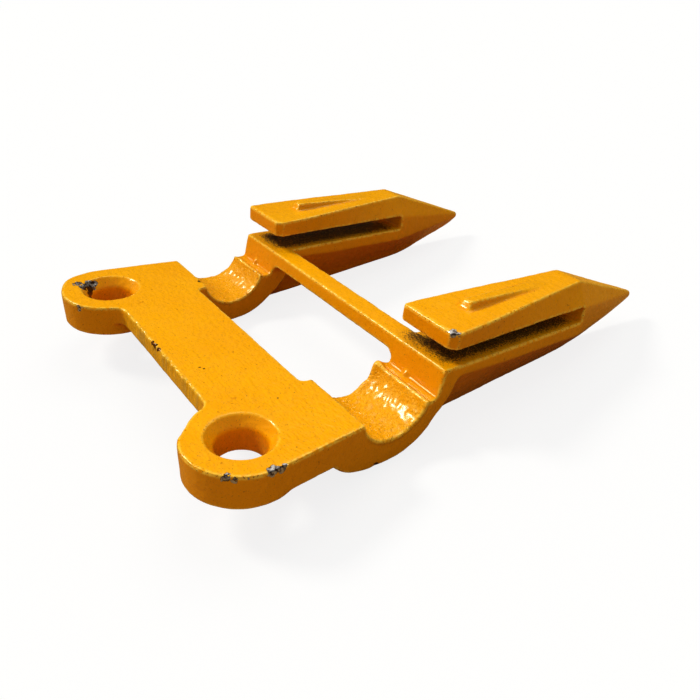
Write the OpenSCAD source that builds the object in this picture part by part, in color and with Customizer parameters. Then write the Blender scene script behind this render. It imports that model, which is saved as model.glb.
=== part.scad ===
// Double knife guard for a sickle cutter bar: two bolted lugs, two troughed arms and two slotted
// fingers. The origin is midway between the bolt holes on the seat face, +Y runs to the points.

/* [Mounting lugs] */
// Distance between the bolt holes, and between the fingers
pitch = 76.2; // [74:0.1:80]
// Radius of a lug at its top face
lug_r = 12.75; // [12:0.05:14]
// Thickness of a lug
lug_t = 8.5; // [7.5:0.1:9.5]
// Side draft of the lugs and arms, in degrees
draft = 3.5; // [0:0.5:4]
// Radius of the bolt hole
bolt_r = 5.5; // [4:0.25:6]
// Radius of the countersink at the top face
sink_r = 7.6; // [6.5:0.1:9]
// Depth of the countersink
sink_depth = 2.6; // [1:0.1:4]
// How far the neck between a lug and its arm stands clear of the seat
neck_lift = 0.9; // [0.5:0.1:1.2]

/* [Bridge] */
// Thickness of the bridge, measured down from the top face
web_t = 4.9; // [4:0.1:6.5]
// Where the bridge's rear edge lies
web_rear = -1.5; // [-3:0.5:0]
// Where the bridge's front edge lies
web_front = 21; // [18:0.5:22]

/* [Arms] */
// Where an arm starts in front of its lug
arm_start = 15.8; // [15:0.1:17]
// Taper of the outer side towards the finger, in degrees
arm_taper = 6.1; // [5:0.1:7]
// Radius of the trough
trough_r = 9.5; // [9:0.1:9.6]
// Lowest point of the arm's underside
belly_z = -5; // [-5.5:0.1:-4]

/* [Fingers] */
// Where the wall behind the ledger starts
wall_y = 45.5; // [45.5:0.1:46.5]
// Height of the ledger surface that the knife runs on
ledger_z = 14.2; // [13.5:0.1:15]
// Half the finger's width behind the slot
finger_w = 8.75; // [8:0.05:9]
// Where the slot ends
slot_end = 97.2; // [90:0.1:98]
// Where the point ends
tip_y = 130.7; // [129:0.1:135]
// Height of the tip's centre
tip_z = 12.45; // [11:0.1:14]
// Half the width of the keel along the finger's underside
keel_w = 1; // [0.5:0.1:1.5]

/* [Upper lips] */
// Where a lip starts
lip_rear = 47.7; // [47:0.1:50]
// Height of the slot at the lip's rear end
lip_gap_rear = 4.6; // [4.4:0.1:6]
// Height of the slot at its front end
lip_gap_front = 4.3; // [4.3:0.05:5]
// Height of a lip's top face at its rear end
lip_top_rear = 23.35; // [23:0.1:24]
// Height of a lip's top face at its front end
lip_top_front = 24.75; // [24:0.1:26]
// Half the width of a lip's top face at its front end
lip_front_w = 4.2; // [3:0.05:5]
// Cut across a lip's right rear corner
lip_corner = 1.8; // [0.5:0.1:2.5]
// How far the left side of a lip's foot stands out past its top at the rear
lip_lean = 0.6; // [0:0.1:1]
// Height of the rib above the lip
rib_h = 1.9; // [1:0.1:2.5]

/* [Tie bar] */
// Height of the bar
bar_h = 3.9; // [3.5:0.1:5]
// Where the bar's front face lies
bar_front = 53; // [51:0.1:56]
// Radius of the fillet under each end
bar_fillet = 3; // [1:0.5:4]

/* [Hidden] */
$fn = 96;
enamel = "orange";
half_pitch = pitch / 2;
// Width of a lug's neck and of an arm on the inner side of the bolt hole
neck_w = 10.9;
// Where the neck's straight sides leave the round end of the lug
neck_outer_y = 1.35;
neck_inner_y = 6;
// The split between the bridge and the lugs and arms
inner_x = half_pitch - neck_w;
web_fillet = 3;
shoulder_fillet = 1.5;
shoulder_y = 23.5;
// The trough's axis runs along X, this far above the lugs' top faces
trough_y = 32.95;
trough_lift = 2.35;
trough_z = lug_t + trough_lift;
// The ledge between the trough and the wall lies this far below the lugs' top faces
ledge_drop = 1.1;
ledge_z = lug_t - ledge_drop;
bead_h = 0.5;
bead_slope = 0.5;
// The underside drops from the neck on this arc
belly_arc_y = 28.1;
belly_arc_r = 15.7;
// From vee_y to vee_end the underside's edges climb, and turn its flat into a vee
vee_y = 33;
vee_end = 48.5;
vee_z = 4.9;
// The climb lies this much further forward on the finger's inner side
inner_lag = 1.6;
wall_lean = 1.5;
// How much narrower a finger is at its ledger than at the foot of its sides
top_draft = 0.1;
// Least height of the upright band along a limb's side
band_h = 0.4;
// Half widths of a finger: on the inner side at the wall, at the slot's end and at the tip
root_w = 9.1;
slot_end_w = finger_w - 0.55;
tip_w = 1.1;
// Half the height of the tip, and half the width of its top
tip_h = 1;
tip_top_w = 0.7;
tip_side = 0.1;
// The top of the point starts to fall this far in front of the slot's end
ridge_lag = 0.6;
lip_bevel = 0.5;
lip_front_foot = finger_w - 0.75;
// Where the rib rises, where it is highest and where it has run out
rib_rear = 58.4;
rib_peak = 59.8;
rib_end = 88;
rib_top_w = 1.4;
rib_foot_w = 2;
rib_sink = 0.5;
rib_edge_h = 0.05;
// How deep the ends of the tie bar go into the fingers
bar_overlap = 0.05;
bar_inner = half_pitch - root_w + bar_overlap;
bar_draft = 0.2;
bar_fillet_y = wall_y + 0.6;
bar_fillet_w = 5;
far = 200;

// Section knots are [place along Y, value]
keel_knots = [[vee_y, belly_z], [40, belly_z], [101, 1.6], [109, 3.3], [120, 6.7], [127, 9.2],
    [tip_y, tip_z - tip_h]];
flank_knots = [[vee_end, vee_z], [49.8, 7], [50.7, 9.4], [51.4, 11.1], [52.9, 11.8], [57, 11.5],
    [68, 10.9], [slot_end, 10.5], [tip_y, tip_z - tip_h / 2]];
outer_knots = [[shoulder_y, 10.3], [33, 9.9], [42, 9.55], [44, 9.25], [wall_y + 0.3, 8.8],
    [bar_front, finger_w], [slot_end, slot_end_w], [tip_y, tip_w]];
inner_knots = [[arm_start, neck_w], [shoulder_y, neck_w], [wall_y, root_w],
    [bar_front + 1, root_w], [60, finger_w], [slot_end, slot_end_w], [tip_y, tip_w]];
lip_top_knots = [[lip_rear, 9.2], [60, 8.45], [80, 6.05],
    [slot_end + ridge_lag, lip_front_w]];
lip_foot_knots = [[lip_rear, 8.8], [slot_end, lip_front_foot]];

function taper_u(y) = (lug_r - y * sin(arm_taper)) / cos(arm_taper);
function outer_u(y) = y < shoulder_y ? taper_u(y) : lookup(y, outer_knots);
function inner_u(y) = lookup(y, inner_knots);
function keel_z(y) = y < belly_arc_y
    ? belly_z + belly_arc_r - sqrt(pow(belly_arc_r, 2) - pow(belly_arc_y - y, 2))
    : lookup(y, keel_knots);
function flank_z(y) = y < vee_y ? keel_z(y)
    : y < vee_end ? belly_z + (vee_z - belly_z) * pow((y - vee_y) / (vee_end - vee_y), 2)
    : lookup(y, flank_knots);
function lip_foot_z(y) = ledger_z + lip_gap_rear
    + (lip_gap_front - lip_gap_rear) * (y - lip_rear) / (slot_end - lip_rear);
function lip_top_z(y) = lip_top_rear
    + (lip_top_front - lip_top_rear) * (y - lip_rear) / (slot_end - lip_rear);

// A closed solid through sections of [x, z] points, one section at each place along Y
module loft(places, sections) {
    n = len(sections[0]);
    last = len(places) - 1;
    points = [for (i = [0:last]) for (p = sections[i]) [p[0], places[i], p[1]]];
    sides = [for (i = [0:last - 1]) for (j = [0:n - 1]) let (k = (j + 1) % n)
        each [[i * n + j, (i + 1) * n + j, i * n + k], [i * n + k, (i + 1) * n + j, (i + 1) * n + k]]];
    rear = [for (j = [0:n - 1]) j];
    front = [for (j = [n - 1:-1:0]) last * n + j];
    polyhedron(points, concat([rear], [front], sides));
}

// Puts a finger's own frame at the left or the right bolt hole, with +X to the right on both
module at_hole(left) {
    translate([left ? -half_pitch : half_pitch, 0, 0])
        children();
}

// The same, but mirrored on the left, so that +X is outwards on both
module at_side(left) {
    mirror([left ? 1 : 0, 0, 0])
        translate([half_pitch, 0, 0])
            children();
}

// An outline in the YZ plane, drawn as [y, z], made into a bar along X
module along_x(from, to) {
    translate([from, 0, 0])
        rotate([90, 0, 90])
            linear_extrude(to - from)
                children();
}

// What lies outside an outer side that tapers towards the finger and leans by the draft
module outside_of_side() {
    rotate([0, 0, arm_taper])
        translate([lug_r, 0, lug_t])
            rotate([0, draft, 0])
                translate([0, -far / 2, -far / 2])
                    cube(far);
}

// The round end of a lug
module lug_disc() {
    cylinder(h = lug_t, r1 = lug_r - lug_t * tan(draft), r2 = lug_r);
}

// The straight stretch of a lug that runs forward to its arm
module lug_neck() {
    translate([0, 0, neck_lift])
        linear_extrude(lug_t - neck_lift)
            polygon([[0, 0], [lug_r, neck_outer_y], [lug_r, arm_start], [-neck_w, arm_start],
                [-neck_w, neck_inner_y]]);
}

// The bolt hole and the countersink above it
module bolt_hole() {
    translate([0, 0, -1])
        cylinder(h = lug_t + 2, r = bolt_r);
    translate([0, 0, lug_t - sink_depth])
        cylinder(h = sink_depth, r1 = bolt_r, r2 = sink_r);
    translate([0, 0, lug_t])
        cylinder(h = 1, r = sink_r);
}

module mounting_lug(left) {
    color(enamel)
        at_side(left)
            difference() {
                union() {
                    lug_disc();
                    difference() {
                        lug_neck();
                        outside_of_side();
                    }
                }
                bolt_hole();
            }
}

// The concave corner between the bridge's rear edge and a lug
module web_rear_corner() {
    center_y = web_rear - web_fillet;
    center_x = half_pitch - sqrt(pow(lug_r + web_fillet, 2) - pow(center_y, 2));
    difference() {
        polygon([[center_x, web_rear], [center_x, center_y], [half_pitch, 0]]);
        translate([center_x, center_y])
            circle(web_fillet);
    }
}

// The concave corner between the bridge's front edge and an arm
module web_front_corner() {
    corner = [inner_x - shoulder_fillet, web_front];
    difference() {
        translate(corner)
            square(shoulder_fillet);
        translate([corner[0], corner[1] + shoulder_fillet])
            circle(shoulder_fillet);
    }
}

module rear_web() {
    color(enamel)
        difference() {
            translate([0, 0, lug_t - web_t])
                linear_extrude(web_t)
                    union() {
                        translate([-inner_x, web_rear])
                            square([2 * inner_x, web_front - web_rear]);
                        for (m = [0, 1])
                            mirror([m, 0]) {
                                web_rear_corner();
                                web_front_corner();
                            }
                    }
            for (left = [false, true])
                at_side(left)
                    lug_disc();
        }
}

// One section of an arm or finger: flat sides above a vee that narrows to the keel
function limb_section(y, top) =
    let (outer = outer_u(y))
    let (inner = inner_u(y))
    let (keel = keel_z(y))
    let (outer_z = flank_z(y))
    let (inner_z = min(outer_z, max(keel, flank_z(y - inner_lag))))
    let (outer_foot = outer - tan(draft) * max(0, lug_t - outer_z))
    let (inner_foot = inner - tan(draft) * max(0, lug_t - inner_z))
    [[outer - top_draft, top], [outer, max(lug_t, outer_z + band_h)], [outer_foot, outer_z],
        [keel_w, keel], [-keel_w, keel], [-inner_foot, inner_z],
        [-inner, max(lug_t, inner_z + band_h)], [top_draft - inner, top]];

// The outer form that an arm and its finger share, between two places along Y
module limb(places, top) {
    loft(places, [for (y = places) limb_section(y, top)]);
}

// Side view of an arm: the seat, the half-round trough, its bead and the ledge before the wall
module arm_profile() {
    bead_y = trough_y + trough_r;
    difference() {
        polygon([[arm_start, 2 * belly_z], [wall_y, 2 * belly_z], [wall_y, ledge_z],
            [bead_y + bead_slope, ledge_z], [bead_y, ledge_z + bead_h], [trough_y, ledge_z + bead_h],
            [trough_y, lug_t], [arm_start, lug_t]]);
        translate([trough_y, trough_z])
            circle(trough_r);
    }
}

module arm(left) {
    steps = 40;
    places = [for (i = [0:steps]) arm_start + (wall_y - arm_start) * i / steps];
    color(enamel)
        at_side(left)
            intersection() {
                limb(places, lug_t + 1);
                along_x(-far / 2, far / 2)
                    arm_profile();
            }
}

// Side view of the space behind the sloping wall, above the arm's ledge
module wall_cut() {
    lean = wall_lean / (ledger_z - ledge_z);
    along_x(-far / 2, far / 2)
        polygon([[wall_y - lean, ledge_z - 1], [wall_y + wall_lean + lean, ledger_z + 1],
            [wall_y - 1, ledger_z + 1], [wall_y - 1, ledge_z - 1]]);
}

module finger_body(left) {
    root_end = 56;
    root = [for (i = [0:30]) wall_y + (root_end - wall_y) * i / 30];
    blade = [for (y = [60:4:92]) y];
    color(enamel)
        at_side(left)
            difference() {
                limb(concat(root, blade, [95, slot_end]), ledger_z);
                wall_cut();
            }
}

// One section of a lip: a flat underside and a top that narrows towards the front
function lip_section(y) =
    let (corner = max(0, lip_corner - (y - lip_rear)))
    let (bevel = max(0, lip_bevel - (y - lip_rear)))
    let (foot = lookup(y, lip_foot_knots))
    let (top = lookup(y, lip_top_knots))
    let (lean = lip_lean * (slot_end - y) / (slot_end - lip_rear))
    [[top - corner, lip_top_z(y) - bevel], [foot - corner, lip_foot_z(y)],
        [bevel - foot - lean, lip_foot_z(y)], [bevel - top, lip_top_z(y) - bevel]];

// One section of the rib, sunk a little into the lip's top face
function rib_section(y, h) =
    let (z = lip_top_z(y))
    [[rib_top_w, z + h], [rib_foot_w, z], [rib_foot_w, z - rib_sink],
        [-rib_foot_w, z - rib_sink], [-rib_foot_w, z], [-rib_top_w, z + h]];

module upper_lip(left) {
    places = concat([lip_rear, lip_rear + lip_bevel, lip_rear + lip_corner],
        [for (y = [52:5:92]) y], [slot_end]);
    rib_places = [rib_rear, rib_peak, rib_end];
    rib_heights = [rib_edge_h, rib_h, rib_edge_h];
    color(enamel)
        at_hole(left)
            union() {
                loft(places, [for (y = places) lip_section(y)]);
                loft(rib_places, [for (i = [0:2]) rib_section(rib_places[i], rib_heights[i])]);
            }
}

// One section of the solid point, with t running from 0 at the slot's end to 1 at the tip
function nose_section(y) =
    let (t = (y - slot_end) / (tip_y - slot_end))
    let (ridge_y = slot_end + ridge_lag)
    let (top_t = max(0, (y - ridge_y) / (tip_y - ridge_y)))
    let (top = lip_front_w + (tip_top_w - lip_front_w) * top_t)
    let (top_z = lip_top_front + (tip_z + tip_h - lip_top_front) * top_t)
    let (foot = lip_front_foot + (tip_w - lip_front_foot) * t)
    let (foot_z = lip_foot_z(slot_end) + (tip_z + tip_h / 2 - lip_foot_z(slot_end)) * t)
    let (side = lookup(y, outer_knots))
    let (side_z = ledger_z + (tip_z + tip_side - ledger_z) * t)
    let (keel = keel_w * (1 - t / 2))
    [[top, top_z], [foot, foot_z], [side, side_z], [side, flank_z(y)], [keel, keel_z(y)],
        [-keel, keel_z(y)], [-side, flank_z(y)], [-side, side_z], [-foot, foot_z],
        [-top, top_z]];

module nose(left) {
    places = concat([slot_end, slot_end + ridge_lag], [for (y = [100:2:130]) y], [tip_y]);
    color(enamel)
        at_side(left)
            loft(places, [for (y = places) nose_section(y)]);
}

// Side view of the tie bar, whose rear face carries on the slope of the walls
module bar_profile() {
    foot = ledger_z - bar_h;
    rear_foot = wall_y + wall_lean * (foot - ledge_z) / (ledger_z - ledge_z);
    polygon([[rear_foot, foot], [bar_front - bar_draft, foot], [bar_front, ledger_z],
        [wall_y + wall_lean, ledger_z]]);
}

// The fillet under one end of the bar
module bar_end_fillet() {
    foot = ledger_z - bar_h;
    translate([bar_inner - bar_fillet, bar_fillet_y, foot - bar_fillet])
        rotate([90, 0, 0])
            mirror([0, 0, 1])
                linear_extrude(bar_fillet_w)
                    difference() {
                        square(bar_fillet);
                        circle(bar_fillet);
                    }
}

module tie_bar() {
    color(enamel)
        union() {
            along_x(-bar_inner, bar_inner)
                bar_profile();
            for (m = [0, 1])
                mirror([m, 0, 0])
                    bar_end_fillet();
        }
}

rear_web();
mounting_lug(true);  // left_mounting_lug
mounting_lug(false);  // right_mounting_lug
arm(true);  // left_arm
arm(false);  // right_arm
finger_body(true);  // left_finger_body
finger_body(false);  // right_finger_body
tie_bar();
upper_lip(true);  // left_upper_lip
upper_lip(false);  // right_upper_lip
nose(true);  // left_nose
nose(false);  // right_nose
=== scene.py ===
"""Looks of the double knife guard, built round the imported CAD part.

The CAD nodes are joined into one distance field, which is rounded and roughened as a painted
forging is, and the surface is then split again into one closed piece for each CAD node."""

import math

import bpy
import numpy as np
import openvdb as vdb
from mathutils import Matrix, Vector
from mathutils.geometry import tessellate_polygon


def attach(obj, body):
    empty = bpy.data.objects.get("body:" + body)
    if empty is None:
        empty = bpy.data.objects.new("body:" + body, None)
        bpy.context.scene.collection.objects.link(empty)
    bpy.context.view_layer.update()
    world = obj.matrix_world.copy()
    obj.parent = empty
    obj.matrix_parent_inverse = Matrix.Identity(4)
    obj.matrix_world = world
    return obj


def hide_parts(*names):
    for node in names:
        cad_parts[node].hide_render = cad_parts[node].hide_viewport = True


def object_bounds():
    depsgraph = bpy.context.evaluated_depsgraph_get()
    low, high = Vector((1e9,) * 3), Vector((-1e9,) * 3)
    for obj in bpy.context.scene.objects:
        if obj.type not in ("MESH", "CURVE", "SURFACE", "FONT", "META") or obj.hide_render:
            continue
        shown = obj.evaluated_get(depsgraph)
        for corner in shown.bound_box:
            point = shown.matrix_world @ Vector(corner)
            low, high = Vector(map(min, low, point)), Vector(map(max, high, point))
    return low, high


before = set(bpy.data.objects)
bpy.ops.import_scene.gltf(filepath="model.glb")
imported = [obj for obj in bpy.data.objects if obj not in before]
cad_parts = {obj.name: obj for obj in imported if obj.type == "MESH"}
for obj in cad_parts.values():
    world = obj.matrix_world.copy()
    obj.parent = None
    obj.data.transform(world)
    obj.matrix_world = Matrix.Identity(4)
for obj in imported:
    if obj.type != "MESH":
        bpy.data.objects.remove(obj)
CAD_LOW, CAD_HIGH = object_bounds()

# Lengths are in millimetres here, and turned into metres when a mesh is made.
MM = 0.001
SEED = 7

# The distance field: its grid, how many voxels deep it is, and its margin round the part
VOXEL = 0.3
BAND = 6
PAD = 2.4
# A gap under twice this between two nodes is closed
CLOSE = 0.06
# How far the crisp edges and the soft ones are blurred, and the most of the soft that is mixed in
ROUND = 0.22
ROUND_SOFT = 0.46
SOFT_SHARE = 0.25
# Widths of the three noises, and how far each moves the surface, all over and in a trough
FINE_SIZE, MEDIUM_SIZE, COARSE_SIZE = 0.45, 1.1, 3.5
GRAIN = (0.012, 0.009, 0.018)
TROUGH_GRAIN = (0.038, 0.022, 0.014)
# A noise's grains are this many cells of its own grid wide
CELLS_TO_GRAIN = 1.5
# A noise value this far from 0 counts as its end
NOISE_END = 1.5

# The part's own dimensions
HOLE_X = 38.1
LUG_R = 12.75
LUG_T = 8.5
LUG_DRAFT = math.tan(math.radians(3.5))
WEB_FRONT = 21.0
TROUGH_Y = 32.95
TROUGH_Z = 10.85
TROUGH_R = 9.5
WALL_Y = 45.5
WALL_LEAN = 1.5
BAR_FRONT = 53.0

# Where the bridge is split from the lugs: this far outside a lug's round end and this far from the
# middle plane. Past the bridge's front the split turns inwards by WEB_TURN for each mm along Y
LUG_CUT = 0.6
WEB_X = 27.2
WEB_TURN = 0.8
WEB_END = 30
# Where the arms, the tie bar, the noses and the upper lips start
ARM_Y = 15.8
BAR_X = 28.2
NOSE_Y = 96.4
SLOT_Z = 16.5
# A point this near a cut counts as just past it
NEAR_CUT = 1e-5
# A length under this counts as this, so that nothing is divided by zero
TINY = 1e-12

LOW = np.array(CAD_LOW) / MM
HIGH = np.array(CAD_HIGH) / MM
GRID_START = np.floor((LOW - PAD) / VOXEL).astype(int)
GRID_SHAPE = np.ceil((HIGH + PAD) / VOXEL).astype(int) - GRID_START + 1
AXES = [(GRID_START[k] + np.arange(GRID_SHAPE[k])) * VOXEL for k in range(3)]
RANDOM = np.random.default_rng(SEED)


def smooth_step(x, low, high):
    """0 below low, 1 above high, with a smooth rise between them."""
    t = np.clip((x - low) / (high - low), 0, 1)
    return t * t * (3 - 2 * t)


# ---------------------------------------------------------------- distance field


def level_set(points, triangles=None, quads=None):
    """The distance in mm from a closed mesh, negative inside it, on the whole grid."""
    grid = vdb.FloatGrid.createLevelSetFromPolygons(
        points.astype(np.float32),
        triangles=triangles,
        quads=quads,
        transform=vdb.createLinearTransform(voxelSize=VOXEL),
        halfWidth=BAND,
    )
    field = np.empty(tuple(GRID_SHAPE), np.float32)
    grid.copyToArray(field, ijk=tuple(int(i) for i in GRID_START))
    return field


def field_surface(field, level=0.0):
    """The surface where the field has this level, as points in mm and quads."""
    grid = vdb.FloatGrid(BAND * VOXEL)
    grid.copyFromArray(field, ijk=tuple(int(i) for i in GRID_START))
    grid.transform = vdb.createLinearTransform(voxelSize=VOXEL)
    points, quads = grid.convertToQuads(isovalue=level)
    return points, quads


def node_mesh(node):
    """A CAD node's points in mm and its triangles."""
    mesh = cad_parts[node].data
    mesh.calc_loop_triangles()
    points = np.empty(len(mesh.vertices) * 3, np.float32)
    mesh.vertices.foreach_get("co", points)
    triangles = np.empty(len(mesh.loop_triangles) * 3, np.int32)
    mesh.loop_triangles.foreach_get("vertices", triangles)
    return points.reshape(-1, 3) / MM, triangles.reshape(-1, 3).astype(np.uint32)


def joined_field():
    """One distance field for all the CAD nodes, with no trace of the faces where they meet."""
    field = None
    for node in sorted(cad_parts):
        points, triangles = node_mesh(node)
        one = level_set(points, triangles=triangles)
        field = one if field is None else np.minimum(field, one)
    points, quads = field_surface(field, CLOSE)
    return level_set(points, quads=quads) + CLOSE


def blur(field, sigma):
    """A Gaussian blur by sigma, in mm."""
    reach = max(1, int(math.ceil(3 * sigma / VOXEL)))
    steps = np.arange(-reach, reach + 1)
    weights = np.exp(-0.5 * (steps * VOXEL / sigma) ** 2)
    weights = (weights / weights.sum()).astype(np.float32)
    for axis in range(3):
        size = field.shape[axis]
        out = weights[reach] * field
        for k in range(1, reach + 1):
            near = [slice(None)] * 3
            far = [slice(None)] * 3
            near[axis] = slice(0, size - k)
            far[axis] = slice(k, size)
            near, far = tuple(near), tuple(far)
            out[near] += weights[reach + k] * field[far]
            out[far] += weights[reach + k] * field[near]
        field = out
    return field


def rough_noise(sigma):
    """Seeded noise whose grains are about three sigma wide, with a spread of 1."""
    step = max(1, int(sigma / VOXEL / CELLS_TO_GRAIN))
    shape = [int(math.ceil(n / step)) + 2 for n in GRID_SHAPE]
    coarse = RANDOM.standard_normal(shape).astype(np.float32)
    reach = sigma / step
    coarse = blur(coarse, reach)
    coarse /= coarse.std()
    if step == 1:
        return coarse[: GRID_SHAPE[0], : GRID_SHAPE[1], : GRID_SHAPE[2]]
    for axis in range(3):
        place = np.arange(GRID_SHAPE[axis]) / step
        low = place.astype(int)
        share = (place - low).astype(np.float32)
        share = share.reshape([-1 if k == axis else 1 for k in range(3)])
        coarse = np.take(coarse, low, axis) * (1 - share) + np.take(coarse, low + 1, axis) * share
    return coarse


def sample(field, points):
    """The field's values at points in mm, blended between voxels."""
    place = points / VOXEL - GRID_START
    low = np.clip(np.floor(place).astype(int), 0, GRID_SHAPE - 2)
    share = place - low
    total = np.zeros(len(points), np.float32)
    for i in (0, 1):
        for j in (0, 1):
            for k in (0, 1):
                weight = np.abs(1 - i - share[:, 0])
                weight = weight * np.abs(1 - j - share[:, 1]) * np.abs(1 - k - share[:, 2])
                total += weight * field[low[:, 0] + i, low[:, 1] + j, low[:, 2] + k]
    return total


def grid_box(low, high):
    """Slices of the grid and its X, Y and Z there, for a box in mm."""
    spans = []
    for k in range(3):
        first = max(0, int((low[k] / VOXEL) - GRID_START[k]))
        last = min(GRID_SHAPE[k], int((high[k] / VOXEL) - GRID_START[k]) + 2)
        spans.append(slice(first, last))
    xyz = np.meshgrid(*[AXES[k][spans[k]] for k in range(3)], indexing="ij", sparse=True)
    return tuple(spans), xyz


# ---------------------------------------------------------------- splitting


def web_side(p):
    """Below zero inside the bridge."""
    u = np.abs(p[:, 0])
    edge = WEB_X - WEB_TURN * np.maximum(0, p[:, 1] - WEB_FRONT)
    radius = LUG_R + LUG_CUT - LUG_DRAFT * (LUG_T - p[:, 2])
    from_lug = radius - np.hypot(u - HOLE_X, p[:, 1])
    return np.maximum(np.maximum(u - edge, from_lug), p[:, 1] - WEB_END)


def bar_side(p):
    """Below zero inside the tie bar."""
    return np.maximum(np.abs(p[:, 0]) - BAR_X, WALL_Y - WALL_LEAN - p[:, 1])


CUTS = [
    web_side,
    bar_side,
    lambda p: p[:, 1] - ARM_Y,
    lambda p: p[:, 1] - WALL_Y,
    lambda p: p[:, 1] - NOSE_Y,
]


def split_mesh(points, triangles, cut):
    """Splits the triangles that cross the cut, so that each lies on one side of it."""
    value = cut(points).astype(np.float64)
    value[np.abs(value) < NEAR_CUT] = NEAR_CUT
    above = value > 0
    side = above[triangles]
    count = side.sum(1)
    crossed = (count == 1) | (count == 2)
    kept, tri, side = triangles[~crossed], triangles[crossed], side[crossed]
    if len(tri) == 0:
        return points, triangles
    lone = np.where(side.sum(1) == 1, side.argmax(1), (~side).argmax(1))
    rows = np.arange(len(tri))
    a, b, c = tri[rows, lone], tri[rows, (lone + 1) % 3], tri[rows, (lone + 2) % 3]
    ends = np.sort(np.concatenate([np.stack([a, b], 1), np.stack([a, c], 1)]), 1)
    edges, place = np.unique(ends, axis=0, return_inverse=True)
    place = place.ravel()
    first, last = value[edges[:, 0]], value[edges[:, 1]]
    share = (first / (first - last))[:, None]
    new = points[edges[:, 0]] * (1 - share) + points[edges[:, 1]] * share
    ab, ac = len(points) + place[: len(tri)], len(points) + place[len(tri) :]
    made = [np.stack([a, ab, ac], 1), np.stack([ab, b, c], 1), np.stack([ab, c, ac], 1)]
    return np.concatenate([points, new]), np.concatenate([kept, *made])


def node_of(p):
    """The name of the CAD node that each point belongs to."""
    side = np.where(p[:, 0] < 0, "left_", "right_")
    part = np.where(
        p[:, 1] > NOSE_Y,
        "nose",
        np.where(
            p[:, 1] > WALL_Y,
            np.where(p[:, 2] > SLOT_Z, "upper_lip", "finger_body"),
            np.where(p[:, 1] > ARM_Y, "arm", "mounting_lug"),
        ),
    )
    name = np.char.add(side, part)
    name = np.where(bar_side(p) < 0, "tie_bar", name)
    return np.where(web_side(p) < 0, "rear_web", name)


def unit(vectors):
    """The same directions with a length of 1, and 0 where there is none."""
    return vectors / np.maximum(np.linalg.norm(vectors, axis=1, keepdims=True), TINY)


def vertex_normals(points, triangles):
    """The surface's normal at each point, weighted by area."""
    a, b, c = (points[triangles[:, k]] for k in range(3))
    face = np.cross(b - a, c - a)
    total = np.zeros_like(points)
    for k in range(3):
        for axis in range(3):
            total[:, axis] += np.bincount(triangles[:, k], face[:, axis], len(points))
    return unit(total)


def fill_ring(points, ring, normal):
    """Triangles that fill a ring of points, facing along the normal."""
    filled = []
    for tri in tessellate_polygon([[Vector(points[i]) for i in ring]]):
        ids = [ring[i] for i in tri]
        a, b, c = points[ids]
        if np.dot(np.cross(b - a, c - a), normal) < 0:
            ids.reverse()
        filled.append(ids)
    return filled


def rings_by_cut(points, loop):
    """A loop over two cuts is parted at the corner between them, one ring for each cut."""
    off = np.abs([cut(points[loop]) for cut in CUTS])
    label = np.maximum(off, np.roll(off, -1, 1)).argmin(0)
    if (label == label[0]).all():
        return [loop]
    starts = [k for k in range(len(loop)) if label[k] != label[k - 1]]
    rings = []
    for k, start in enumerate(starts):
        stop = starts[(k + 1) % len(starts)]
        stop += len(loop) if stop <= start else 0
        rings.append([loop[i % len(loop)] for i in range(start, stop + 1)])
    return [ring for ring in rings if len(ring) > 2]


def cap_triangles(points, triangles):
    """Triangles that close the open ends of a piece."""
    edges = np.concatenate([triangles[:, [0, 1]], triangles[:, [1, 2]], triangles[:, [2, 0]]])
    codes = edges[:, 0].astype(np.int64) * len(points) + edges[:, 1]
    backwards = edges[:, 1].astype(np.int64) * len(points) + edges[:, 0]
    open_edges = edges[~np.isin(codes, backwards)]
    following = {int(b): int(a) for a, b in open_edges}
    caps = []
    while following:
        start, loop = next(iter(following)), []
        at = start
        while at in following:
            loop.append(at)
            at = following.pop(at)
        for ring in rings_by_cut(points, loop):
            spots = points[ring]
            normal = np.cross(spots, np.roll(spots, -1, 0)).sum(0)
            caps += fill_ring(points, ring, normal)
    return np.array(caps, int).reshape(-1, 3)


def without_doubles(local, caps):
    """Leaves out triangles with no area, and pairs of triangles that lie on each other."""
    faces = np.sort(np.concatenate([local, caps]), 1)
    _, place, count = np.unique(faces, axis=0, return_inverse=True, return_counts=True)
    single = (count[place.ravel()] == 1) & (np.diff(faces, axis=1) > 0).all(1)
    return local[single[: len(local)]], caps[single[len(local) :]]


def make_piece(name, points, triangles, normals, layers):
    """One closed mesh object with its own end faces, smooth over the splits."""
    used, local = np.unique(triangles, return_inverse=True)
    local = local.reshape(-1, 3)
    own = points[used]
    local, caps = without_doubles(local, cap_triangles(own, local))
    faces = np.concatenate([local, caps])
    mesh = bpy.data.meshes.new(name)
    mesh.vertices.add(len(own))
    mesh.vertices.foreach_set("co", (own * MM).astype(np.float32).ravel())
    mesh.loops.add(len(faces) * 3)
    mesh.loops.foreach_set("vertex_index", faces.astype(np.int32).ravel())
    mesh.polygons.add(len(faces))
    mesh.polygons.foreach_set("loop_start", np.arange(0, len(faces) * 3, 3, dtype=np.int32))
    mesh.update(calc_edges=True)
    mesh.polygons.foreach_set("use_smooth", np.ones(len(mesh.polygons), bool))
    a, b, c = (own[caps[:, k]] for k in range(3))
    flat = unit(np.cross(b - a, c - a))
    corner = np.concatenate([normals[used][local].reshape(-1, 3), np.repeat(flat, 3, 0)])
    mesh.normals_split_custom_set(corner.astype(np.float32))
    for layer, values in layers.items():
        attribute = mesh.attributes.new(layer, "FLOAT", "POINT")
        attribute.data.foreach_set("value", values[used].astype(np.float32))
    obj = bpy.data.objects.new(name, mesh)
    bpy.context.scene.collection.objects.link(obj)
    return obj


# ---------------------------------------------------------------- the forging

# A swelling is worked out as far as this many times its reach
SWELL_SPREAD = 3

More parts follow.
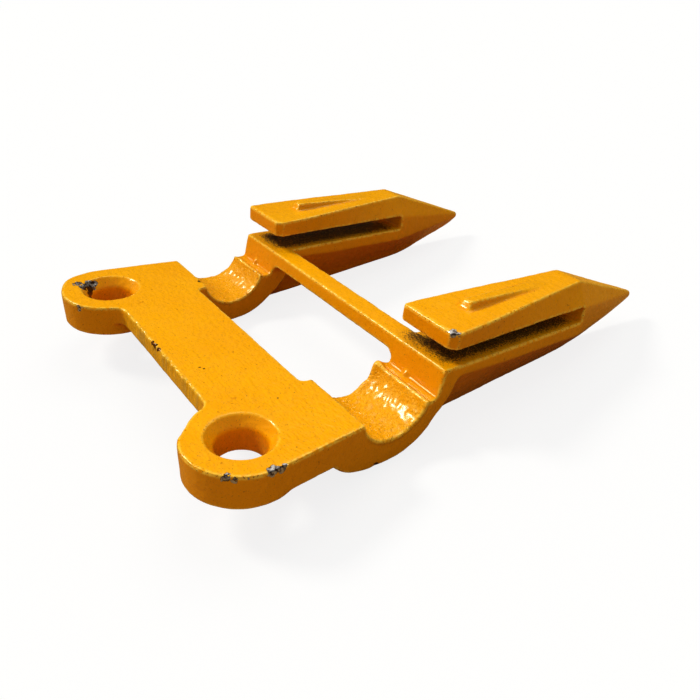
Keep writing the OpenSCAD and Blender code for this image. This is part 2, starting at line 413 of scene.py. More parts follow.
# A trough's texture fades out over these distances outside its arc, and over these heights
TROUGH_FADE = (0.5, 1.1)
TROUGH_TOP = (7.4, 8.6)
TROUGH_BOX = ((LOW[0], 23, -6), (HIGH[0], 46, 9))

# The sheared rear face of the bridge: where its grooves are, how far they lean, how deep they are,
# and where they fade out, from the middle plane, along Y and upwards
SHEAR_BOX = ((-26, -3, 2.5), (26, 0, 9))
SHEAR_SLANT = 0.12
SHEAR_DEPTH = 0.16
SHEAR_HALF = (18, 24)
SHEAR_Y = (-1.2, -0.4)
SHEAR_Z = (4.5, 8.3)

# Each raised or sunk place: its middle, its reach along X, Y and Z, and its height
SHAPED = {
    "near_lug_sunk": ((29.2, -9.3, 5), (3.0, 3.0, 6), -0.75),
    "far_lug_full": ((-48.0, -9.0, 5), (3.0, 3.0, 6), 0.35),
    "near_trough_edge": ((28.0, 42.3, 6.6), (1.4, 1.7, 2.4), 1.3),
    "near_trough_foot": ((28.6, 38.2, 2.0), (1.4, 1.6, 2.2), 0.5),
    "far_arm_sunk": ((-47.9, 42, 4), (1.5, 3.2, 8), -0.9),
    "far_trough_notch": ((-27.6, 41.6, 6.3), (1.0, 1.0, 1.0), -0.55),
    "far_trough_lump": ((-27.4, 39.2, 3.6), (1.0, 1.2, 1.2), 0.4),
    "far_trough_low": ((-27.3, 35.6, 1.8), (1.0, 1.2, 1.0), -0.35),
    "near_wall_drip": ((35.4, 45.3, 7.7), (0.55, 0.6, 0.55), 0.8),
    "far_wall_drip": ((-38.5, 45.3, 8.0), (0.55, 0.6, 0.55), 0.8),
}

# The far keel is fuller: places along it, the floor's line that it follows, and each swelling
FAR_KEEL_Y = range(56, 107, 10)
FAR_KEEL_LINE = (0.108, 40, -5)
FAR_KEEL_REACH = (2.4, 6, 1.5)
FAR_KEEL_HEIGHT = 0.4

# The ribs stand a little prouder along their high stretch
RIB_Y = range(62, 75, 4)
RIB_Z = 25.3
RIB_REACH = (1.1, 2.4, 0.5)
RIB_HEIGHT = 0.09

# A short raised scratch on the bridge: its start, the step to each next point, and each swelling
SCRATCH_START = (20.2, 11.0, 8.6)
SCRATCH_STEP = (0.86, -0.15)
SCRATCH_POINTS = 6
SCRATCH_REACH = (0.6, 0.22, 0.3)
SCRATCH_HEIGHT = 0.12


def swell(shape, centre, reach, height):
    """Raises the surface by height round centre, or sinks it where height is below zero."""
    centre, reach = np.array(centre, float), np.array(reach, float)
    span, (x, y, z) = grid_box(centre - SWELL_SPREAD * reach, centre + SWELL_SPREAD * reach)
    away = ((x - centre[0]) / reach[0]) ** 2 + ((y - centre[1]) / reach[1]) ** 2
    away = away + ((z - centre[2]) / reach[2]) ** 2
    shape[span] -= (height * np.exp(-0.5 * away)).astype(np.float32)


def in_trough(y, z):
    """1 at a trough's surface, 0 away from it and where it meets the lug and the ledge."""
    outside = np.hypot(y - TROUGH_Y, z - TROUGH_Z) - TROUGH_R
    near, far = TROUGH_FADE
    low, high = TROUGH_TOP
    return smooth_step(-outside, -far, -near) * smooth_step(-z, -high, -low)


def roughen(shape, noises):
    """Cast grain all over, and a lumpier surface in the troughs."""
    for size, noise in zip(GRAIN, noises):
        shape += size * noise
    span, (_, y, z) = grid_box(*TROUGH_BOX)
    lumps = sum(size * noise[span] for size, noise in zip(TROUGH_GRAIN, noises))
    shape[span] += (in_trough(y, z) * lumps).astype(np.float32)


def shear_marks(shape):
    """Upright grooves that the shear left on the bridge's rear face, deepest at its top edge."""
    span, (x, y, z) = grid_box(*SHEAR_BOX)
    every_other = AXES[0][::2]
    stripes = np.interp(AXES[0], every_other, RANDOM.standard_normal(len(every_other)))
    stripes = np.interp(x + SHEAR_SLANT * z, AXES[0], stripes)
    fade = 1 - smooth_step(np.abs(x), *SHEAR_HALF)
    fade = fade * (1 - smooth_step(y, *SHEAR_Y)) * smooth_step(z, *SHEAR_Z)
    shape[span] += (SHEAR_DEPTH * stripes * fade).astype(np.float32)


def hand_shaping(shape):
    """The small ways in which each side of the forging differs from the design."""
    for place in SHAPED.values():
        swell(shape, *place)
    slope, start, foot = FAR_KEEL_LINE
    for y in FAR_KEEL_Y:
        centre = (-HOLE_X, y, slope * (y - start) + foot)
        swell(shape, centre, FAR_KEEL_REACH, FAR_KEEL_HEIGHT)
    for x in (-HOLE_X, HOLE_X):
        for y in RIB_Y:
            swell(shape, (x, y, RIB_Z), RIB_REACH, RIB_HEIGHT)
    x, y, z = SCRATCH_START
    for k in range(SCRATCH_POINTS):
        centre = (x + SCRATCH_STEP[0] * k, y + SCRATCH_STEP[1] * k, z)
        swell(shape, centre, SCRATCH_REACH, SCRATCH_HEIGHT)


# Each chip's middle, its radius, and whether rust covers it
BARE, RUSTY = 0, 1
CHIPS = {
    "near_rim_rear": ((47.7, -8.3, 8.3), 1.3, BARE),
    "near_rim_low": ((48.9, -7.2, 7.6), 0.9, BARE),
    "near_rim_side": ((50.4, -5.0, 8.2), 0.7, BARE),
    "near_rim_front": ((50.6, 0.2, 8.3), 1.25, BARE),
    "near_rim_ahead": ((50.7, 2.2, 8.2), 1.1, BARE),
    "near_rim_inner": ((30.9, -10.0, 8.2), 0.9, BARE),
    "far_rim": ((-30.1, -10.9, 8.0), 1.1, BARE),
    "far_rim_low": ((-31.3, -10.9, 7.4), 0.9, BARE),
    "far_sink_rear": ((-43.9, -7.2, 8.5), 1.2, BARE),
    "far_sink_rim": ((-42.2, -6.1, 8.3), 1.3, BARE),
    "far_sink_wall": ((-43.2, -4.3, 7.5), 1.8, BARE),
    "far_sink_front": ((-44.4, -2.8, 7.5), 1.1, BARE),
    "far_sink_low": ((-41.1, -4.3, 6.6), 1.6, RUSTY),
    "far_sink_foot": ((-39.4, -4.7, 6.1), 1.2, RUSTY),
    "lip_corner": ((45.3, 48.5, 23.2), 1.15, BARE),
    "lip_corner_side": ((46.3, 49.6, 22.9), 0.8, BARE),
    "lip_rear": ((43.9, 47.9, 23.1), 0.6, BARE),
    "web_front": ((-31.5, 23.6, 8.3), 0.8, RUSTY),
    "web_rear_left": ((-4.9, -1.5, 8.2), 0.7, RUSTY),
    "web_rear_middle": ((-3.2, -1.5, 7.9), 0.9, RUSTY),
    "web_rear_right": ((-1.2, -1.5, 8.3), 0.7, RUSTY),
    "web_pimple": ((30.4, 13.0, 8.5), 0.3, RUSTY),
    "web_scratch_rear": ((11.0, 3.7, 8.5), 0.3, RUSTY),
    "web_scratch_front": ((12.0, 4.2, 8.5), 0.28, RUSTY),
    "arm_under": ((47.5, 28.5, -4.6), 0.9, RUSTY),
}

# A chip's hollow, as a share of its radius and as a depth
CHIP_HOLLOW = 0.55
CHIP_DEPTH = 0.16
# The chip layer's value in a chip's middle, and how many radii away it has fallen to 0
CHIP_MIDDLE = 0.85
CHIP_REACH = 1.6


def chip_paint(shape):
    """Sinks the surface a little where the enamel is chipped off."""
    for centre, radius, _ in CHIPS.values():
        swell(shape, centre, (radius * CHIP_HOLLOW,) * 3, -CHIP_DEPTH)


def chip_layer(points, kind=None):
    """High in the middle of a chip of this kind in the enamel, 0 away from every chip."""
    layer = np.zeros(len(points))
    for centre, radius, rust in CHIPS.values():
        if kind in (None, rust):
            away = np.linalg.norm(points - np.array(centre), axis=1) / radius
            layer = np.maximum(layer, np.clip(CHIP_REACH - away, 0, CHIP_MIDDLE))
    return layer


# The overspray, with painted shade in the slots under the upper lips: its ends along Y, how it fades
# in from the outer and the inner side, and its floor and ceiling in Z. By the near finger it runs out
# a little way on to the tie bar
SOOT_AND_SHADE_START = (46.3, 52.3)
SOOT_AND_SHADE_END = (92, 98)
SOOT_AND_SHADE_OUTER = HOLE_X + 8.9
SOOT_AND_SHADE_INNER = HOLE_X - 9.2
SOOT_AND_SHADE_ON_BAR = 25.5
SOOT_AND_SHADE_OUTER_FADE = (0.3, 4.6)
SOOT_AND_SHADE_INNER_FADE = (0.2, 5.0)
SOOT_AND_SHADE_FLOOR = (13.2, 13.9)
SOOT_AND_SHADE_CEILING = (18.9, 19.6)

# The rear face for the shader: its depth along Y, its half length and its top
REAR_Y = (-1.3, -0.6)
REAR_HALF = (22, 25)
REAR_TOP = (8.2, 8.6)

# The worn patch there: its middle and its size in X and Z, and where it fades out
SCUFF_X, SCUFF_Z = -11.6, 5.4
SCUFF_SIZE = (3.5, 2.6)
SCUFF_FADE = (0.4, 1.2)

# Ahead of here the bridge and the lugs end
PLATE_END = (20, 26)


def soot_and_shade_layer(points):
    """How much dark overspray lies on the ledges and in the slots, with painted shade in the slots
    under the lips.
    """
    x, y, z = points.T
    u = np.abs(x)
    inner = np.where((y < BAR_FRONT) & (x > 0), SOOT_AND_SHADE_ON_BAR, SOOT_AND_SHADE_INNER)
    layer = smooth_step(y, *SOOT_AND_SHADE_START) * (1 - smooth_step(y, *SOOT_AND_SHADE_END))
    layer *= smooth_step(SOOT_AND_SHADE_OUTER - u, *SOOT_AND_SHADE_OUTER_FADE) * smooth_step(u - inner, *SOOT_AND_SHADE_INNER_FADE)
    return layer * smooth_step(z, *SOOT_AND_SHADE_FLOOR) * (1 - smooth_step(z, *SOOT_AND_SHADE_CEILING))


def shear_layer(points):
    """1 on the bridge's rear face, 0 elsewhere."""
    x, y, z = points.T
    layer = (1 - smooth_step(y, *REAR_Y)) * (1 - smooth_step(np.abs(x), *REAR_HALF))
    return layer * (1 - smooth_step(z, *REAR_TOP))


def scuff_layer(points):
    """1 in the middle of the worn patch on the bridge's rear face, 0 away from it."""
    x, y, z = points.T
    away = np.hypot((x - SCUFF_X) / SCUFF_SIZE[0], (z - SCUFF_Z) / SCUFF_SIZE[1])
    return (1 - smooth_step(away, *SCUFF_FADE)) * (1 - smooth_step(y, *REAR_Y))


def plate_layer(points):
    """1 on the bridge and the lugs, 0 ahead of them."""
    return 1 - smooth_step(points[:, 1], *PLATE_END)


def trough_layer(points):
    """1 on the troughs, 0 elsewhere."""
    return in_trough(points[:, 1], points[:, 2])


def forged_shape(crisp, soft):
    """The whole forging's distance field, rounded, shaped at listed places and roughened."""
    noises = [rough_noise(size) for size in (FINE_SIZE, MEDIUM_SIZE, COARSE_SIZE)]
    share = smooth_step(noises[1], -NOISE_END, NOISE_END)
    shape = crisp + (soft - crisp) * share * SOFT_SHARE
    hand_shaping(shape)
    roughen(shape, noises)
    shear_marks(shape)
    chip_paint(shape)
    return shape


def build_forging():
    """One closed piece for each CAD node, with the layers that the material reads."""
    field = joined_field()
    crisp = blur(field, ROUND)
    soft = blur(field, ROUND_SOFT)
    points, quads = field_surface(forged_shape(crisp, soft))
    points = points.astype(np.float64)
    quads = quads.astype(np.int64)
    triangles = np.concatenate([quads[:, [0, 1, 2]], quads[:, [0, 2, 3]]])
    a, b, c = (points[triangles[:, k]] for k in range(3))
    # The volume comes out below zero where the triangles face inwards
    if np.einsum("ij,ij->i", a, np.cross(b, c)).sum() < 0:
        triangles = triangles[:, ::-1]
    for cut in CUTS:
        points, triangles = split_mesh(points, triangles, cut)
    points = np.clip(points, LOW, HIGH)
    normals = vertex_normals(points, triangles)
    layers = {
        "edge": sample(soft - crisp, points) / ROUND,
        "chip": chip_layer(points),
        "rust": chip_layer(points, RUSTY),
        "soot_and_shade": soot_and_shade_layer(points),
        "shear": shear_layer(points),
        "trough": trough_layer(points),
        "plate": plate_layer(points),
        "scuff": scuff_layer(points),
    }
    owner = node_of(points[triangles].mean(1))
    pieces = {}
    for node in sorted(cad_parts):
        own = triangles[owner == node]
        pieces[node] = make_piece(node + "_forging", points, own, normals, layers)
    return pieces


# ---------------------------------------------------------------- materials

# The two inputs of a Mix node for colours, and for values
MIX_COLOUR = (6, 7)
MIX_VALUE = (2, 3)
COLOUR_RESULT = 2


class Graph:
    """Short ways to add shader nodes to one material."""

    def __init__(self, name):
        self.material = bpy.data.materials.new(name)
        self.material.use_nodes = True
        self.tree = self.material.node_tree
        self.shader = self.tree.nodes["Principled BSDF"]
        coords = self.tree.nodes.new("ShaderNodeTexCoord")
        self.place = coords.outputs["Object"]
        # 1 on a face that looks up, 0 on an upright one and -1 on one that looks down
        split = self.tree.nodes.new("ShaderNodeSeparateXYZ")
        self.put(split.inputs[0], coords.outputs["Normal"])
        self.up = split.outputs["Z"]

    def put(self, socket, value):
        """Gives a socket a value, or links it to another socket."""
        if isinstance(value, bpy.types.NodeSocket):
            self.tree.links.new(value, socket)
        else:
            socket.default_value = value

    def layer(self, name):
        """A layer that is stored with the mesh."""
        node = self.tree.nodes.new("ShaderNodeAttribute")
        node.attribute_name = name
        return node.outputs["Fac"]

    def math(self, kind, a, b):
        """What the Math node's operation of this kind makes of a and b."""
        node = self.tree.nodes.new("ShaderNodeMath")
        node.operation = kind
        self.put(node.inputs[0], a)
        self.put(node.inputs[1], b)
        return node.outputs[0]

    def times(self, a, b):
        """The product of a and b."""
        return self.math("MULTIPLY", a, b)

    def stretch(self, scale):
        """The place on the object, scaled along each axis."""
        node = self.tree.nodes.new("ShaderNodeVectorMath")
        node.operation = "MULTIPLY"
        self.put(node.inputs[0], self.place)
        self.put(node.inputs[1], scale)
        return node.outputs[0]

    def noise(self, scale, detail, place=None):
        """Noise with this many grains to the metre."""
        node = self.tree.nodes.new("ShaderNodeTexNoise")
        self.put(node.inputs["Vector"], place or self.place)
        node.inputs["Scale"].default_value = scale
        node.inputs["Detail"].default_value = detail
        return node.outputs["Fac"]

    def rise(self, value, low, high, out_low=0.0, out_high=1.0):
        """Maps low..high of the value to out_low..out_high, smoothly and clamped."""
        node = self.tree.nodes.new("ShaderNodeMapRange")
        node.interpolation_type = "SMOOTHSTEP"
        self.put(node.inputs["Value"], value)
        names = ("From Min", "From Max", "To Min", "To Max")
        for name, number in zip(names, (low, high, out_low, out_high)):
            node.inputs[name].default_value = number
        return node.outputs[0]

    def patches(self, name, out_low=0.0, out_high=1.0):
        """Noise patches from the list below: out_high on them and out_low between them."""
        grains, detail, low, high = PATCHES[name]
        return self.rise(self.noise(grains, detail), low, high, out_low, out_high)

    def mix(self, share, a, b):
        """Colour a where share is 0, colour b where it is 1."""
        node = self.tree.nodes.new("ShaderNodeMix")
        node.data_type = "RGBA"
        self.put(node.inputs["Factor"], share)
        self.put(node.inputs[MIX_COLOUR[0]], a)
        self.put(node.inputs[MIX_COLOUR[1]], b)
        return node.outputs[COLOUR_RESULT]

    def mix_value(self, share, a, b):
        """Value a where share is 0, value b where it is 1."""
        node = self.tree.nodes.new("ShaderNodeMix")
        self.put(node.inputs["Factor"], share)
        self.put(node.inputs[MIX_VALUE[0]], a)
        self.put(node.inputs[MIX_VALUE[1]], b)
        return node.outputs[0]

    def bump(self, height, depth, before=None):
        """A normal for a height of 0 to 1 that stands for this many metres, on top of another."""
        node = self.tree.nodes.new("ShaderNodeBump")
        node.inputs["Strength"].default_value = 1.0
        node.inputs["Distance"].default_value = depth
        self.put(node.inputs["Height"], height)
        if before:
            self.put(node.inputs["Normal"], before)
        return node.outputs[0]


ENAMEL_TOP = (0.97, 0.465, 0.0, 1)
# Painted shade: browner enamel for upright faces and browner still for faces that look down
ENAMEL_PAINTED_SIDE_SHADE = (0.88, 0.35, 0.0, 1)
ENAMEL_PAINTED_UNDER_SHADE = (0.82, 0.22, 0.0, 1)
# Enamel of a deeper tone for the clouds, and painted shade in the hollows
ENAMEL_CLOUDS_AND_HOLLOW_SHADE = (0.84, 0.28, 0.0, 1)
# A painted highlight for the edges
ENAMEL_EDGE_HIGHLIGHT = (1.0, 0.64, 0.08, 1)
ENAMEL_PIT = (0.42, 0.13, 0.0, 1)
ENAMEL_SHEARED = (0.93, 0.52, 0.015, 1)
TAN = (0.66, 0.38, 0.05, 1)
# Dark overspray, and painted shade in the slots under the upper lips
SOOT_AND_SHADE = (0.05, 0.025, 0.004, 1)
STEEL = (0.62, 0.60, 0.61, 1)
DULL = (0.085, 0.05, 0.045, 1)
RUST = (0.21, 0.075, 0.012, 1)

# Noise patches: grains to the metre, detail, and the noise's values where a patch starts and is full
PATCHES = {
    "clouds": (70, 3, 0.3, 0.75),
    "pits": (900, 1, 0.72, 0.78),
    "glints": (1000, 3, 0.36, 0.55),
    "nicks": (1900, 2, 0.62, 0.67),
    "bright steel": (1600, 3, 0.4, 0.6),
    "duller enamel": (300, 3, 0.3, 0.7),
}

# Where one look gives way to the next, by how far a face looks up: the painted shade on upright faces
# and on those that look down, and the ripples' height
PAINTED_SIDE_SHADE_TO_TOP = (0.1, 0.95)
PAINTED_SIDE_SHADE_TO_UNDER = (-0.05, -0.7)
STEEP_TO_FLAT = (0.3, 0.9)
# The same by the edge layer, which is below zero in hollows and above zero along edges: the painted
# shade in the hollows, the painted highlight along the edges and the nicks
HOLLOW_SHADED = (-0.02, -0.3)
EDGE_HIGHLIGHTED = (0.12, 0.5)
EDGE_NICKED = (0.15, 0.4)
# The same by the worn streaks and by the rust layer
STREAK_WORN = (0.54, 0.64)
RUST_FULL = (0.0, 0.2)

# How much of its own colour each look has at the most
TROUGH_SHARE = 0.6
CLOUD_SHARE = 0.16
PIT_SHARE = 0.6
HOLLOW_SHADE_SHARE = 0.5
GLINT_SHARE = 0.85
NICK_SHARE = 0.85
SHEAR_SHARE = 0.65
TAN_SHARE = 0.7
SOOT_AND_SHADE_SHARE = 0.93

# Specks and ragged outlines: grains to the metre, detail and height of the noise that is added to
# the overspray-and-painted-shade layer and the chip layer, and the sums where each starts and is full
SPECKS = (3000, 2, 2.6)
SOOT_AND_SHADE_SHOWS = (1.5, 2.35)
RAGS = (800, 4, 2.0)
CHIP_SHOWS = (1.62, 1.72)
# How much nearer to bare the worn patch's streaks are
SCUFF_WEAR = 0.16

# Stretched noise: grains to the metre along X, Y and Z, then detail
STREAKS = ((900, 60, 70), 3)
RIPPLES = ((560, 860, 700), 1)
# Plain noise for the relief: grains to the metre and detail
LUMPS = (1300, 3)
GRAINS = (2600, 2)

# Heights of the relief, in metres
RIPPLE_DEPTH = 0.00027
LUMP_DEPTH = 0.0004
GRAIN_DEPTH = 0.00004
STREAK_DEPTH = 0.0006
CHIP_STEP = 0.0002
# Shares of the ripples' height on steep faces, on flat ones, and on flat ones of the bridge and lugs
RIPPLE_STEEP = 0.35
RIPPLE_FLAT = 0.6
RIPPLE_PLATE = 1.0

# Roughness of the enamel from its glossiest to its dullest, of the overspray with its painted shade,
# and of the bare steel
ENAMEL_ROUGH = (0.2, 0.34)
SOOT_AND_SHADE_ROUGH = 0.75
STEEL_ROUGH = 0.4
STEEL_METALLIC = 0.8
# The gloss over the enamel, away from the troughs and in them
COAT = (0.45, 0.7)
COAT_ROUGH = 0.19
SPECULAR = 0.22
SPECULAR_TINT = (1, 0.86, 0.55, 1)


def enamel_with_painted_shade(g):
    """The enamel's colour with painted shade: browner on upright faces, browner still below."""
    # Painted shade: browner on upright faces, less of it in the troughs, and more on faces that look
    # down
    colour = g.mix(g.rise(g.up, *PAINTED_SIDE_SHADE_TO_TOP), ENAMEL_PAINTED_SIDE_SHADE, ENAMEL_TOP)
    colour = g.mix(g.times(g.layer("trough"), TROUGH_SHARE), colour, ENAMEL_TOP)
    colour = g.mix(g.rise(g.up, *PAINTED_SIDE_SHADE_TO_UNDER), colour, ENAMEL_PAINTED_UNDER_SHADE)
    colour = g.mix(g.patches("clouds", 0.0, CLOUD_SHARE), colour, ENAMEL_CLOUDS_AND_HOLLOW_SHADE)
    return g.mix(g.times(g.patches("pits"), PIT_SHARE), colour, ENAMEL_PIT)


def nicked_edges_and_painted_light(g, colour):
    """Painted shade in the hollows, a painted highlight in bright dashes along the edges, and dark
    nicks along them.
    """
    edge = g.layer("edge")
    # Painted shade in the hollows, then a painted highlight in dashes along the edges
    colour = g.mix(g.rise(edge, *HOLLOW_SHADED, 0.0, HOLLOW_SHADE_SHARE), colour, ENAMEL_CLOUDS_AND_HOLLOW_SHADE)
    bright = g.times(g.rise(edge, *EDGE_HIGHLIGHTED), g.patches("glints"))
    colour = g.mix(g.times(bright, GLINT_SHARE), colour, ENAMEL_EDGE_HIGHLIGHT)
    nick = g.times(g.rise(edge, *EDGE_NICKED), g.patches("nicks"))
    return g.mix(g.times(nick, NICK_SHARE), colour, ENAMEL_PIT)


def sheared_face(g, colour, streak):
    """Yellower enamel over the sheared rear face, worn to tan in upright streaks."""
    shear = g.layer("shear")
    worn = g.math("ADD", streak, g.times(g.layer("scuff"), SCUFF_WEAR))
    patch = g.times(g.rise(worn, *STREAK_WORN), shear)
    colour = g.mix(g.times(shear, SHEAR_SHARE), colour, ENAMEL_SHEARED)
    return g.mix(g.times(patch, TAN_SHARE), colour, TAN)


def soot_and_shade_share(g):
    """How much overspray and painted shade shows: specks that lie closer together where their layer
    is higher.
    """
    grains, detail, height = SPECKS
    speck = g.times(g.noise(grains, detail), height)
    return g.rise(g.math("ADD", g.layer("soot_and_shade"), speck), *SOOT_AND_SHADE_SHOWS, 0.0, SOOT_AND_SHADE_SHARE)


def chip_share(g):
    """1 where the enamel is chipped off, with a ragged outline."""
    grains, detail, height = RAGS
    ragged = g.times(g.noise(grains, detail), height)
    return g.rise(g.math("ADD", g.layer("chip"), ragged), *CHIP_SHOWS)


def bare_steel(g):
    """The steel's colour in a chip: bright and dull by turns, or rusty."""
    steel = g.mix(g.patches("bright steel"), DULL, STEEL)
    return g.mix(g.rise(g.layer("rust"), *RUST_FULL), steel, RUST)


def stretched(g, noise):
    """One of the stretched noises."""
    grains, detail = noise
    return g.noise(1.0, detail, g.stretch(grains))


def enamel_relief(g, streak, chip):
    """Ripples all over, lumps in the troughs, fine grain, shear streaks and sunk chips."""
    flat = g.mix_value(g.layer("plate"), RIPPLE_FLAT, RIPPLE_PLATE)
    relief = g.mix_value(g.rise(g.up, *STEEP_TO_FLAT), RIPPLE_STEEP, flat)
    normal = g.bump(g.times(stretched(g, RIPPLES), relief), RIPPLE_DEPTH)
    normal = g.bump(g.times(g.noise(*LUMPS), g.layer("trough")), LUMP_DEPTH, normal)
    normal = g.bump(g.noise(*GRAINS), GRAIN_DEPTH, normal)
    normal = g.bump(g.times(streak, g.layer("shear")), STREAK_DEPTH, normal)
    return g.bump(g.math("SUBTRACT", 1.0, chip), CHIP_STEP, normal)


def enamel_material():
    """Glossy orange-yellow enamel over forged steel, with its wear, painted shade and painted edge
    highlights.
    """
    g = Graph("enamel")
    inputs = g.shader.inputs
    streak = stretched(g, STREAKS)
    soot_and_shade = soot_and_shade_share(g)
    chip = chip_share(g)
    colour = sheared_face(g, nicked_edges_and_painted_light(g, enamel_with_painted_shade(g)), streak)
    # Overspray, and painted shade in the slots under the upper lips
    colour = g.mix(soot_and_shade, colour, SOOT_AND_SHADE)
    g.put(inputs["Base Color"], g.mix(chip, colour, bare_steel(g)))
    rough = g.mix_value(soot_and_shade, g.patches("duller enamel", *ENAMEL_ROUGH), SOOT_AND_SHADE_ROUGH)
    g.put(inputs["Roughness"], g.mix_value(chip, rough, STEEL_ROUGH))
    g.put(inputs["Metallic"], g.times(chip, STEEL_METALLIC))
    g.put(inputs["Coat Weight"], g.mix_value(g.layer("trough"), *COAT))
    inputs["Coat Roughness"].default_value = COAT_ROUGH
    inputs["Specular IOR Level"].default_value = SPECULAR
    inputs["Specular Tint"].default_value = SPECULAR_TINT
    g.put(inputs["Normal"], enamel_relief(g, streak, chip))
    return g.material


# ---------------------------------------------------------------- stage

# The keels' lowest point, where the floor touches them, and how it rises ahead of there
BELLY = Vector((0, 40, -5.05)) * MM
FLOOR_SLOPE = 6.6 / 61
# Half its length, in metres
FLOOR_HALF = 3.0
# The floor as the camera sees it, and as it throws light back on to the part
FLOOR_PALE = (0.9, 0.9, 0.9, 1)
FLOOR_GLOW = (0.99, 0.99, 0.99, 1)
FLOOR_GLOW_SHARE = 0.86
FLOOR_BOUNCE = (0.34, 0.21, 0.07, 1)

# Each light's direction, its strength and its width in degrees
SUNS = {
    "key": ((-0.6, -0.44, 0.65), 0.71, 14),
    "top": ((-0.25, 0.35, 0.9), 0.22, 40),
}
SUN_COLOUR = (1, 0.975, 0.88)
# The even light from all round, and what the gloss shows of it
WHITE = (1, 1, 1, 1)
FILL_STRENGTH = 0.5
GLOSS_COLOUR = (1, 0.85, 0.5, 1)
GLOSS_STRENGTH = 0.05

# The camera: its place in mm, the direction that it looks from and its roll in degrees, its lens and
# sensor in mm, and how near and how far it sees in metres
CAMERA_PLACE = Vector((136.9, -53.2, 94.5))
CAMERA_TURN = 50.845
CAMERA_RISE = 27.254
CAMERA_ROLL = 5.774
CAMERA_LENS = 35.30
CAMERA_SENSOR = 36
CAMERA_SHIFT = (-0.0135, -0.048)
CAMERA_CLIP = (0.01, 20)
GAMMA = 0.85


def floor_material():
    """Pale for the camera; for the light that it throws back, it is a dim warm floor."""
    material = bpy.data.materials.new("floor")
    material.use_nodes = True
    tree = material.node_tree
    bounce = tree.nodes["Principled BSDF"]
    bounce.inputs["Base Color"].default_value = FLOOR_BOUNCE
    bounce.inputs["Specular IOR Level"].default_value = 0.0
    bounce.inputs["Roughness"].default_value = 1.0
    pale = tree.nodes.new("ShaderNodeBsdfDiffuse")
    pale.inputs["Color"].default_value = FLOOR_PALE
    glow = tree.nodes.new("ShaderNodeEmission")
    glow.inputs["Color"].default_value = FLOOR_GLOW
    seen = tree.nodes.new("ShaderNodeMixShader")
    seen.inputs[0].default_value = FLOOR_GLOW_SHARE
    above = tree.nodes.new("ShaderNodeMixShader")
    either = tree.nodes.new("ShaderNodeMixShader")
    clear = tree.nodes.new("ShaderNodeBsdfTransparent")
    path = tree.nodes.new("ShaderNodeLightPath")
    side = tree.nodes.new("ShaderNodeNewGeometry")
    link = tree.links.new
    link(pale.outputs[0], seen.inputs[1])
    link(glow.outputs[0], seen.inputs[2])
    link(path.outputs["Is Camera Ray"], above.inputs[0])
    link(bounce.outputs[0], above.inputs[1])
    link(seen.outputs[0], above.inputs[2])
    link(side.outputs["Backfacing"], either.inputs[0])
    link(above.outputs[0], either.inputs[1])
    link(clear.outputs[0], either.inputs[2])
    link(either.outputs[0], tree.nodes["Material Output"].inputs["Surface"])
    return material


def build_floor():
    """A plain floor that the two keels rest on, clear when it is seen from below."""
    half = FLOOR_HALF
    corners = [(-half, -half, 0), (half, -half, 0), (half, half, 0), (-half, half, 0)]
    mesh = bpy.data.meshes.new("floor")
    mesh.from_pydata(corners, [], [(0, 1, 2, 3)])
    floor = bpy.data.objects.new("floor", mesh)
    bpy.context.scene.collection.objects.link(floor)
    floor.rotation_euler = (math.atan(FLOOR_SLOPE), 0, 0)
    floor.location = BELLY
    mesh.materials.append(floor_material())


def add_sun(name, direction, strength, angle):
    """A soft light from a direction; strength 1 lights a facing white surface fully."""
    data = bpy.data.lights.new(name, "SUN")
    data.energy = strength * math.pi
    data.angle = math.radians(angle)
    data.color = SUN_COLOUR
    light = bpy.data.objects.new(name, data)
    bpy.context.scene.collection.objects.link(light)
    light.rotation_euler = Vector(direction).to_track_quat("Z", "Y").to_euler()


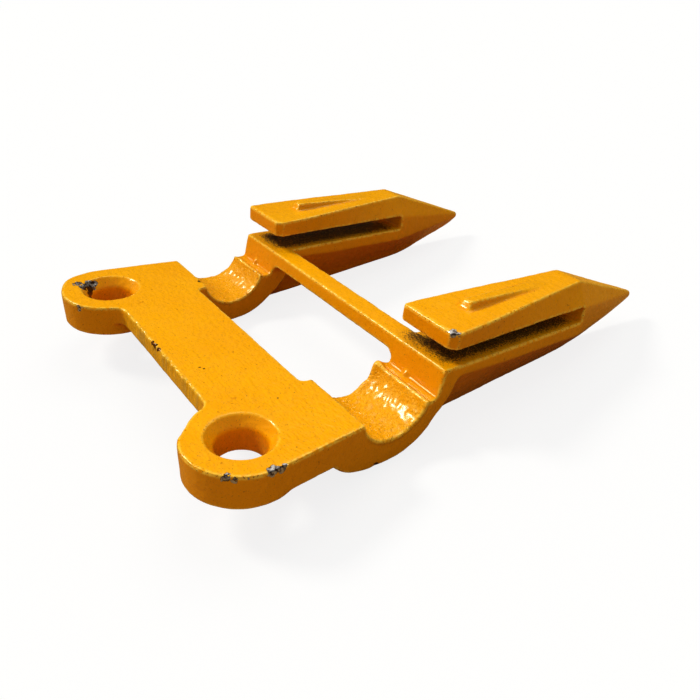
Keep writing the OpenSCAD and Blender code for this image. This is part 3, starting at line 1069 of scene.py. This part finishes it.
def build_world():
    """White behind the object, a dim even light on it, and dimmer still in its gloss."""
    world = bpy.data.worlds.new("studio")
    bpy.context.scene.world = world
    world.use_nodes = True
    tree = world.node_tree
    path = tree.nodes.new("ShaderNodeLightPath")
    fill = tree.nodes["Background"]
    fill.inputs["Color"].default_value = WHITE
    fill.inputs["Strength"].default_value = FILL_STRENGTH
    gloss = tree.nodes.new("ShaderNodeBackground")
    gloss.inputs["Color"].default_value = GLOSS_COLOUR
    gloss.inputs["Strength"].default_value = GLOSS_STRENGTH
    behind = tree.nodes.new("ShaderNodeBackground")
    behind.inputs["Color"].default_value = WHITE
    lit = tree.nodes.new("ShaderNodeMixShader")
    seen = tree.nodes.new("ShaderNodeMixShader")
    link = tree.links.new
    link(path.outputs["Is Glossy Ray"], lit.inputs[0])
    link(fill.outputs[0], lit.inputs[1])
    link(gloss.outputs[0], lit.inputs[2])
    link(path.outputs["Is Camera Ray"], seen.inputs[0])
    link(lit.outputs[0], seen.inputs[1])
    link(behind.outputs[0], seen.inputs[2])
    link(seen.outputs[0], tree.nodes["World Output"].inputs["Surface"])


def build_camera():
    """The camera at the photograph's viewing angle."""
    turn, rise, roll = (math.radians(x) for x in (CAMERA_TURN, CAMERA_RISE, CAMERA_ROLL))
    back = Vector((math.sin(turn) * math.cos(rise), -math.cos(turn) * math.cos(rise), math.sin(rise)))
    right = Vector((math.cos(turn), math.sin(turn), 0))
    up = back.cross(right)
    x = right * math.cos(roll) + up * math.sin(roll)
    y = up * math.cos(roll) - right * math.sin(roll)
    data = bpy.data.cameras.new("camera")
    data.lens = CAMERA_LENS
    data.sensor_width = CAMERA_SENSOR
    data.shift_x, data.shift_y = CAMERA_SHIFT
    data.clip_start, data.clip_end = CAMERA_CLIP
    camera = bpy.data.objects.new("camera", data)
    bpy.context.scene.collection.objects.link(camera)
    turned = Matrix((x, y, back)).transposed().to_4x4()
    camera.matrix_world = Matrix.Translation(CAMERA_PLACE * MM) @ turned
    bpy.context.scene.camera = camera


forging = build_forging()
enamel = enamel_material()
for node, piece in forging.items():
    piece.data.materials.append(enamel)
    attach(piece, "root")
    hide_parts(node)
build_floor()
build_world()
for name, sun in SUNS.items():
    add_sun(name, *sun)
build_camera()
bpy.context.scene.view_settings.view_transform = "Standard"
bpy.context.scene.view_settings.gamma = GAMMA
